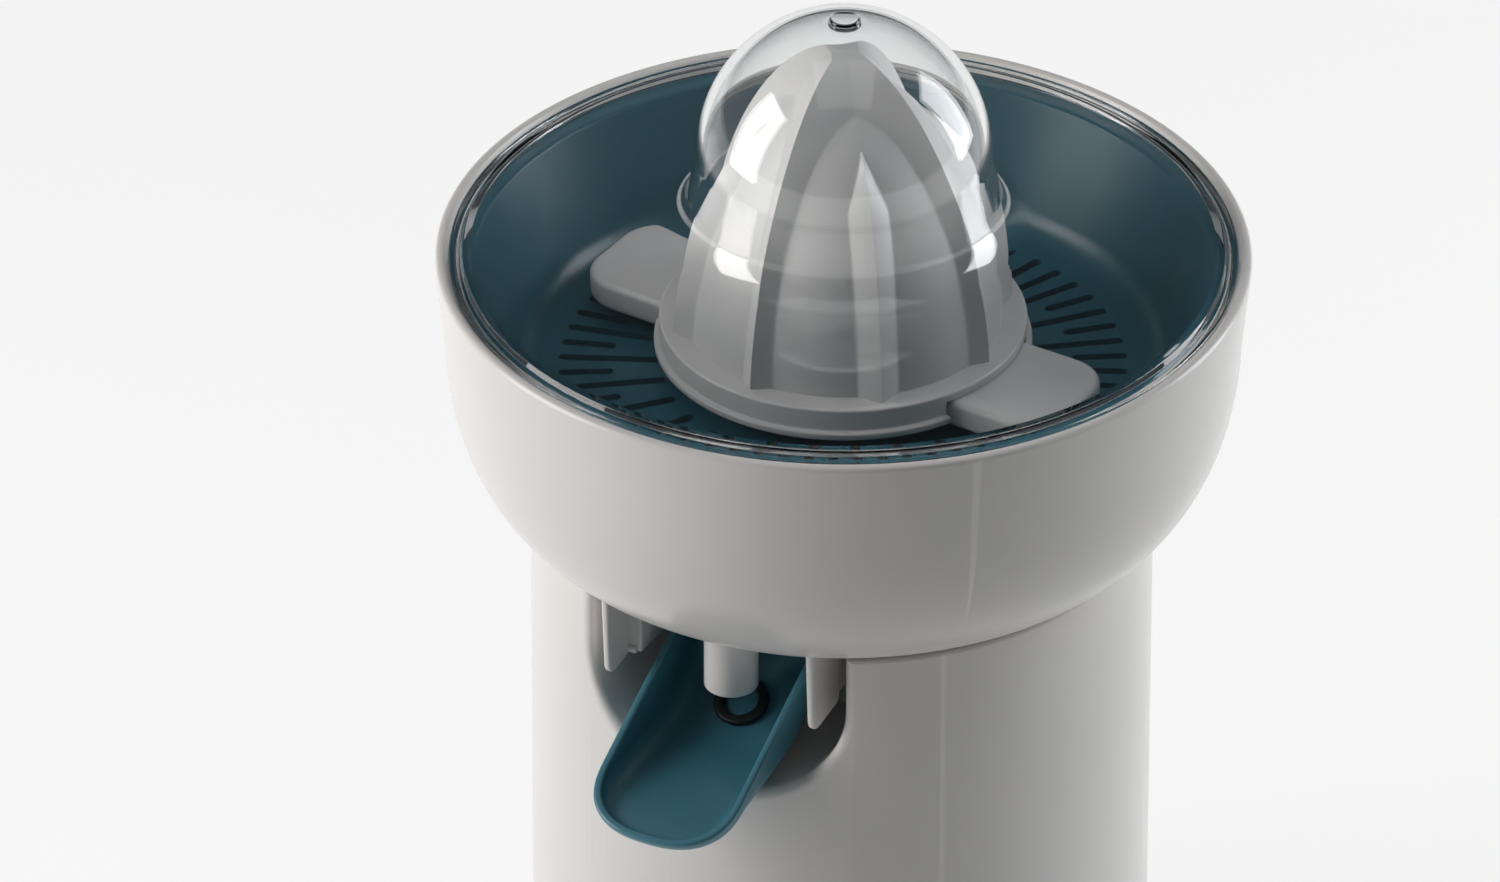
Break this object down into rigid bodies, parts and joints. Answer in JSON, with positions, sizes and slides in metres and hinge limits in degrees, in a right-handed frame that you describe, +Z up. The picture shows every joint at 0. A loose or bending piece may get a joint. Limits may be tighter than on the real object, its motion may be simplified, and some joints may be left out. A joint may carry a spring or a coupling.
{
  "type": "citrus press juicer",
  "caption": "Electric citrus press with a motor base, juice bowl, slotted strainer, two stacked reamers, clear domed lid and tilting drip-stop spout.",
  "frame": {"origin": "on the table, under the middle of the object's outline", "axes": "+Z up along the drive shaft, -Y towards the spout's tip, +X to the right when facing the spout from the front"},
  "size_m": [0.182, 0.1894, 0.2793],
  "materials": {
    "white_plastic": "glossy",
    "teal_plastic": "satin",
    "grey_plastic": "satin",
    "clear_plastic": "clear, polished",
    "black_plastic": "fine grain",
    "nylon": "natural",
    "rubber": "matt",
    "steel": "machined",
    "lamination": "oiled sheet",
    "copper": "varnished wire",
    "brass": "turned",
    "red_plastic": "moulded"
  },
  "bodies": {
    "base": {"base_housing": "white_plastic", "base_cover": "black_plastic", "cord_gland": "black_plastic", "gear_plate": "nylon", "gear_cover": "nylon", "plate_bush": "brass", "cover_bush": "brass", "idler_axle": "steel", "stator_core": "lamination", "coil_bobbin": "nylon", "coil_winding": "copper", "motor_bridge_top": "steel", "motor_bridge_bottom": "steel", "rotor_bush_top": "brass", "rotor_bush_bottom": "brass", "deck_bush": "brass", "shaft_seal": "rubber", "switch_body": "black_plastic", "switch_bracket": "steel", "switch_screw": "steel", "terminal_block": "nylon", "rubber_foot_1": "rubber", "base_screw_1": "steel", "rubber_foot_2": "rubber", "base_screw_2": "steel", "rubber_foot_3": "rubber", "base_screw_3": "steel", "rubber_foot_4": "rubber", "base_screw_4": "steel", "cover_screw_1": "steel", "plate_screw_1": "steel", "cover_screw_2": "steel", "plate_screw_2": "steel", "cover_screw_3": "steel", "plate_screw_3": "steel", "motor_screw_1": "steel", "motor_screw_2": "steel"},
    "drive_gear": {"output_gear": "nylon"},
    "idler": {"idler_gear": "nylon"},
    "rotor": {"rotor_core": "lamination", "rotor_shaft": "steel", "rotor_pinion": "brass", "cooling_fan": "black_plastic"},
    "drive_shaft": {"drive_shaft": "steel", "return_spring": "steel", "shaft_clip": "steel"},
    "plunger": {"switch_plunger": "red_plastic"},
    "bowl": {"juice_bowl": "white_plastic", "strainer": "teal_plastic"},
    "small_reamer": {"small_reamer": "grey_plastic"},
    "large_reamer": {"large_reamer": "grey_plastic"},
    "spout": {"drip_spout": "teal_plastic", "spout_seal": "rubber"},
    "lid": {"lid": "clear_plastic"}
  },
  "joints": [
    {"name": "drive_spin", "type": "hinge", "parent": "base", "child": "drive_gear", "pos_m": [0, 0.0037, 0.1], "axis": [0, 0, 1], "continuous": true},
    {"name": "idler_spin", "type": "hinge", "parent": "base", "child": "idler", "pos_m": [0.03377, 0.0232, 0.095], "axis": [0, 0, 1], "continuous": true},
    {"name": "rotor_spin", "type": "hinge", "parent": "base", "child": "rotor", "pos_m": [0.00993, 0.03587, 0.06], "axis": [0, 0, 1], "continuous": true},
    {"name": "press", "type": "slide", "parent": "drive_gear", "child": "drive_shaft", "axis": [0, 0, 1], "range_m": [-0.0025, 0], "stiffness_N_per_m": 2500, "springref_m": 0.003, "deforming": ["return_spring"]},
    {"name": "switch_press", "type": "slide", "parent": "base", "child": "plunger", "axis": [0, 0, 1], "range_m": [-0.0025, 0]},
    {"name": "bowl_lift", "type": "slide", "parent": "base", "child": "bowl", "axis": [0, 0, 1], "range_m": [0, 0.13]},
    {"name": "reamer_lift", "type": "slide", "parent": "drive_shaft", "child": "small_reamer", "axis": [0, 0, 1], "range_m": [0, 0.13]},
    {"name": "large_reamer_lift", "type": "slide", "parent": "small_reamer", "child": "large_reamer", "axis": [0, 0, 1], "range_m": [0, 0.002]},
    {"name": "spout_tilt", "type": "hinge", "parent": "bowl", "child": "spout", "pos_m": [0, -0.0338, 0.1434], "axis": [-1, 0, 0], "range_deg": [0, 25.5]},
    {"name": "lid_lift", "type": "slide", "parent": "bowl", "child": "lid", "axis": [0, 0, 1], "range_m": [0, 0.12]}
  ],
  "couplings": [
    {"joint": "idler_spin", "follows": "drive_spin", "ratio": -5},
    {"joint": "rotor_spin", "follows": "drive_spin", "ratio": 20},
    {"joint": "switch_press", "follows": "press", "ratio": 1},
    {"joint": "reamer_lift", "follows": "bowl_lift", "ratio": 1}
  ]
}
